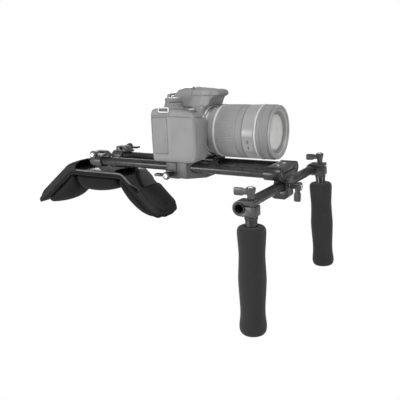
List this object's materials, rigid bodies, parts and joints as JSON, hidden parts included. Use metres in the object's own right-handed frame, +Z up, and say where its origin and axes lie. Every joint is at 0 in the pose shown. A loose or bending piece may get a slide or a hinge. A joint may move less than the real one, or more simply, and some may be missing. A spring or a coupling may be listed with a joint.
{
  "type": "shoulder camera rig",
  "caption": "Shoulder-mounted camera support: twin rods with a padded saddle behind, a clamped base carrying a camera, and a front cross rod with upright foam grips.",
  "frame": {"origin": "centre of the camera base's flat underside", "axes": "+X forward, the way the lens points; +Y to the operator's left along the cross rod; +Z up"},
  "size_m": [0.5471, 0.3182, 0.3219],
  "materials": {
    "black_anodised": "satin black anodised",
    "dark_painted": "satin dark grey",
    "grey_plate": "satin grey",
    "screw_steel": "bright turned steel",
    "lever_plastic": "gloss black",
    "pad_fabric": "matt black woven",
    "foam": "matt black foam",
    "camera_shell": "matt pale grey",
    "camera_rubber": "ribbed pale grey",
    "lens_shell": "satin pale grey",
    "bright_trim": "bright satin",
    "lens_glass": "coated glass",
    "dark_plastic": "matt dark grey"
  },
  "bodies": {
    "rods": {"rod_right": "black_anodised", "rod_left": "black_anodised", "rod_plug_right": "black_anodised", "rod_plug_left": "black_anodised"},
    "shoulder_support": {"shoulder_pedestal": "black_anodised", "shoulder_clamp_right": "dark_painted", "shoulder_clamp_left": "dark_painted", "pad_plate": "grey_plate", "pad_cover": "pad_fabric", "cushion_rear": "pad_fabric", "cushion_centre": "pad_fabric", "cushion_front": "pad_fabric"},
    "shoulder_right_knob": {"shoulder_right_lever": "lever_plastic", "shoulder_right_screw": "screw_steel"},
    "shoulder_left_knob": {"shoulder_left_lever": "lever_plastic", "shoulder_left_screw": "screw_steel"},
    "camera_base": {"base_block": "dark_painted", "base_jaw": "grey_plate"},
    "base_knob": {"base_lever": "lever_plastic", "base_screw": "screw_steel"},
    "camera": {"quick_plate": "black_anodised", "camera_screw": "screw_steel", "camera_body": "camera_shell", "viewfinder_housing": "camera_shell", "eyepiece": "camera_rubber", "rear_screen": "dark_plastic", "camera_cell": "dark_plastic", "strap_lug": "bright_trim", "lens_mount": "bright_trim", "lens_barrel": "lens_shell", "rear_glass": "lens_glass"},
    "zoom": {"zoom_ring": "camera_rubber"},
    "zoom_tube_body": {"zoom_tube": "lens_shell", "accent_ring": "bright_trim", "front_glass": "lens_glass"},
    "focus": {"focus_ring": "camera_rubber"},
    "flash": {"flash_head": "camera_shell"},
    "door": {"card_door": "camera_shell"},
    "dial": {"mode_dial": "bright_trim"},
    "button": {"shutter_button": "bright_trim"},
    "bracket": {"front_bracket": "dark_painted"},
    "bracket_knob": {"bracket_lever": "lever_plastic", "bracket_screw": "screw_steel"},
    "cross": {"cross_rod": "black_anodised"},
    "handle_right": {"handle_clamp_right": "dark_painted", "handle_bar_right": "black_anodised", "foam_grip_right": "foam"},
    "handle_left": {"handle_clamp_left": "dark_painted", "handle_bar_left": "black_anodised", "foam_grip_left": "foam"},
    "handle_right_knob": {"handle_right_lever": "lever_plastic", "handle_right_screw": "screw_steel"},
    "handle_left_knob": {"handle_left_lever": "lever_plastic", "handle_left_screw": "screw_steel"}
  },
  "joints": [
    {"name": "shoulder_slide", "type": "slide", "parent": "rods", "child": "shoulder_support", "axis": [1, 0, 0], "range_m": [0, 0.06]},
    {"name": "base_slide", "type": "slide", "parent": "rods", "child": "camera_base", "axis": [1, 0, 0], "range_m": [-0.02, 0.06]},
    {"name": "plate_slide", "type": "slide", "parent": "camera_base", "child": "camera", "axis": [1, 0, 0], "range_m": [-0.012, 0.012]},
    {"name": "bracket_slide", "type": "slide", "parent": "rods", "child": "bracket", "axis": [1, 0, 0], "range_m": [-0.025, 0]},
    {"name": "cross_slide", "type": "slide", "parent": "bracket", "child": "cross", "axis": [0, 1, 0], "range_m": [-0.02, 0.02]},
    {"name": "handle_right_tilt", "type": "hinge", "parent": "cross", "child": "handle_right", "pos_m": [0.145, -0.14, -0.0054], "axis": [0, 1, 0], "range_deg": [-60, 60]},
    {"name": "handle_left_tilt", "type": "hinge", "parent": "cross", "child": "handle_left", "pos_m": [0.145, 0.14, -0.0054], "axis": [0, 1, 0], "range_deg": [-60, 60]},
    {"name": "shoulder_right_lever_turn", "type": "hinge", "parent": "shoulder_support", "child": "shoulder_right_knob", "pos_m": [-0.188, -0.045, 0.031], "axis": [0, -1, 0], "range_deg": [-170, 170]},
    {"name": "shoulder_left_lever_turn", "type": "hinge", "parent": "shoulder_support", "child": "shoulder_left_knob", "pos_m": [-0.188, 0.045, 0.031], "axis": [0, 1, 0], "range_deg": [-170, 170]},
    {"name": "base_lever_turn", "type": "hinge", "parent": "camera_base", "child": "base_knob", "pos_m": [-0.0335, -0.046, 0.005], "axis": [0, -1, 0], "range_deg": [-110, 110]},
    {"name": "bracket_lever_turn", "type": "hinge", "parent": "bracket", "child": "bracket_knob", "pos_m": [0.165, 0, -0.0054], "axis": [1, 0, 0], "range_deg": [-170, 170]},
    {"name": "handle_right_lever_turn", "type": "hinge", "parent": "handle_right", "child": "handle_right_knob", "pos_m": [0.15742, -0.14, 0.01213], "axis": [-0.0105, 0, 0.9999], "range_deg": [-170, 170]},
    {"name": "handle_left_lever_turn", "type": "hinge", "parent": "handle_left", "child": "handle_left_knob", "pos_m": [0.15655, 0.14, 0.01272], "axis": [-0.0593, 0, 0.9982], "range_deg": [-170, 170]},
    {"name": "zoom_turn", "type": "hinge", "parent": "camera", "child": "zoom", "pos_m": [0.07, 0, 0.074], "axis": [1, 0, 0], "range_deg": [0, 60]},
    {"name": "zoom_slide", "type": "slide", "parent": "camera", "child": "zoom_tube_body", "axis": [1, 0, 0], "range_m": [0, 0.022]},
    {"name": "focus_turn", "type": "hinge", "parent": "zoom_tube_body", "child": "focus", "pos_m": [0.125, 0, 0.074], "axis": [1, 0, 0], "range_deg": [-90, 90]},
    {"name": "flash_lift", "type": "hinge", "parent": "camera", "child": "flash", "pos_m": [0.00185, 0, 0.1409], "axis": [0, -1, 0], "range_deg": [0, 70]},
    {"name": "card_door_swing", "type": "hinge", "parent": "camera", "child": "door", "pos_m": [-0.0416, -0.0719, 0.072], "axis": [0, 0, -1], "range_deg": [0, 100]},
    {"name": "mode_dial_turn", "type": "hinge", "parent": "camera", "child": "dial", "pos_m": [-0.019, -0.044, 0.12], "axis": [0, 0, 1], "continuous": true},
    {"name": "shutter_press", "type": "slide", "parent": "camera", "child": "button", "axis": [0, 0, -1], "range_m": [0, 0.0012], "stiffness_N_per_m": 600, "springref_m": -0.0008}
  ],
  "couplings": [
    {"joint": "zoom_turn", "follows": "zoom_slide", "rad_per_m": 47.59}
  ]
}
